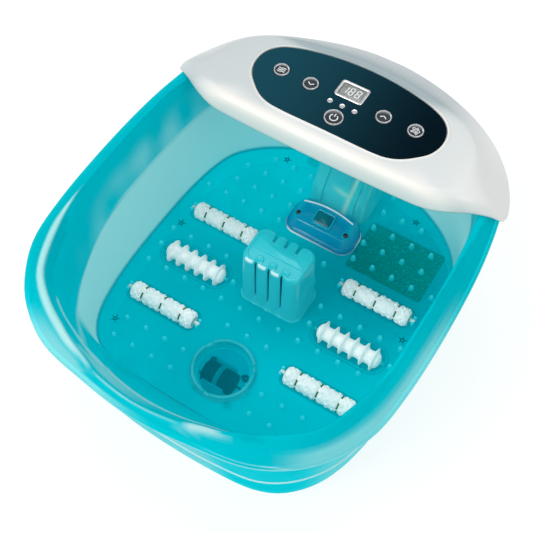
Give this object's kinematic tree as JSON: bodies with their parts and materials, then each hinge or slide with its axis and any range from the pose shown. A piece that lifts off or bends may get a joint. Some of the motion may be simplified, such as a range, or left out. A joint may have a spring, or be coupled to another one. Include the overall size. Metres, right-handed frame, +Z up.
{
  "type": "foot spa basin",
  "caption": "Bubbling foot bath with a tinted clear basin, loose massage rollers, a central block and a rear control hood with display and touch buttons.",
  "frame": {"origin": "centre of the bounding box, at the level of the feet's undersides", "axes": "+Z up, +Y towards the control hood at the back, +X to the user's right when seated with the hood at the far end"},
  "size_m": [0.35, 0.429, 0.221],
  "materials": {
    "tub_teal": "clear tinted, polished",
    "casing_teal": "clear tinted, polished",
    "pale_teal": "clear tinted",
    "heater_blue": "clear tinted",
    "hood_white": "satin gloss",
    "tray_plastic": "matt",
    "roller_white": "fine matt",
    "axle_green": "matt",
    "overlay_navy": "gloss film",
    "silver_trim": "satin plated",
    "display_window": "smoked, gloss",
    "led_lens": "clear lens",
    "circuit_board": "solder mask",
    "steel": "plated",
    "black_plastic": "matt",
    "rubber_foot": "matt",
    "hose_clear": "soft, cloudy",
    "heater_ceramic": "potted block"
  },
  "bodies": {
    "basin": {"air_hose": "hose_clear", "air_pump": "black_plastic", "base_plate": "casing_teal", "base_screw_1": "steel", "base_screw_2": "steel", "base_screw_3": "steel", "base_screw_4": "steel", "base_screw_5": "steel", "base_screw_6": "steel", "centre_block": "pale_teal", "control_board": "circuit_board", "control_hood": "hood_white", "cord_gland": "black_plastic", "display_bezel": "silver_trim", "display_module": "display_window", "heater_cover": "heater_blue", "heater_cover_screw_1": "steel", "heater_cover_screw_2": "steel", "heater_element": "heater_ceramic", "hood_tray": "tray_plastic", "indicator_led_1": "led_lens", "indicator_led_2": "led_lens", "indicator_led_3": "led_lens", "infrared_window": "display_window", "inner_basin": "tub_teal", "motor_bracket": "steel", "outer_casing": "casing_teal", "panel_overlay": "overlay_navy", "power_board": "circuit_board", "rear_duct": "pale_teal", "rubber_foot_1": "rubber_foot", "rubber_foot_2": "rubber_foot", "rubber_foot_3": "rubber_foot", "rubber_foot_4": "rubber_foot", "vibration_motor": "black_plastic", "well_ring": "pale_teal", "wiring_harness": "black_plastic"},
    "front_left_roller": {"roller_1": "roller_white", "roller_axle_1": "axle_green"},
    "front_right_roller": {"roller_2": "roller_white", "roller_axle_2": "axle_green"},
    "rear_left_roller": {"roller_3": "roller_white", "roller_axle_3": "axle_green"},
    "rear_right_roller": {"roller_4": "roller_white", "roller_axle_4": "axle_green"},
    "left_spindle": {"spindle_roller_left": "roller_white"},
    "right_spindle": {"spindle_roller_right": "roller_white"},
    "vibration_button": {"vibration_button": "overlay_navy"},
    "temp_down_button": {"temp_down_button": "overlay_navy"},
    "power_button": {"power_button": "overlay_navy"},
    "temp_up_button": {"temp_up_button": "overlay_navy"},
    "bubble_button": {"bubble_button": "overlay_navy"},
    "motor_weight": {"eccentric_weight": "steel"}
  },
  "joints": [
    {"name": "front_left_roller_spin", "type": "hinge", "parent": "basin", "child": "front_left_roller", "pos_m": [-0.0895, -0.0671, 0.043], "axis": [1, 0, 0], "continuous": true},
    {"name": "front_right_roller_spin", "type": "hinge", "parent": "basin", "child": "front_right_roller", "pos_m": [0.0895, -0.0671, 0.043], "axis": [1, 0, 0], "continuous": true},
    {"name": "rear_left_roller_spin", "type": "hinge", "parent": "basin", "child": "rear_left_roller", "pos_m": [-0.0895, 0.0471, 0.043], "axis": [1, 0, 0], "continuous": true},
    {"name": "rear_right_roller_spin", "type": "hinge", "parent": "basin", "child": "rear_right_roller", "pos_m": [0.0895, 0.0471, 0.043], "axis": [1, 0, 0], "continuous": true},
    {"name": "left_spindle_spin", "type": "hinge", "parent": "basin", "child": "left_spindle", "pos_m": [-0.0895, -0.0097, 0.043], "axis": [1, 0, 0], "continuous": true},
    {"name": "right_spindle_spin", "type": "hinge", "parent": "basin", "child": "right_spindle", "pos_m": [0.0895, -0.0097, 0.043], "axis": [1, 0, 0], "continuous": true},
    {"name": "vibration_button_press", "type": "slide", "parent": "basin", "child": "vibration_button", "axis": [0, 0, -1], "range_m": [0, 0.0006], "stiffness_N_per_m": 400, "springref_m": -0.0005},
    {"name": "temp_down_button_press", "type": "slide", "parent": "basin", "child": "temp_down_button", "axis": [0, 0, -1], "range_m": [0, 0.0006], "stiffness_N_per_m": 400, "springref_m": -0.0005},
    {"name": "power_button_press", "type": "slide", "parent": "basin", "child": "power_button", "axis": [0, 0, -1], "range_m": [0, 0.0006], "stiffness_N_per_m": 400, "springref_m": -0.0005},
    {"name": "temp_up_button_press", "type": "slide", "parent": "basin", "child": "temp_up_button", "axis": [0, 0, -1], "range_m": [0, 0.0006], "stiffness_N_per_m": 400, "springref_m": -0.0005},
    {"name": "bubble_button_press", "type": "slide", "parent": "basin", "child": "bubble_button", "axis": [0, 0, -1], "range_m": [0, 0.0006], "stiffness_N_per_m": 400, "springref_m": -0.0005},
    {"name": "motor_weight_spin", "type": "hinge", "parent": "basin", "child": "motor_weight", "pos_m": [0.0235, -0.0955, 0.0205], "axis": [1, 0, 0], "continuous": true}
  ]
}
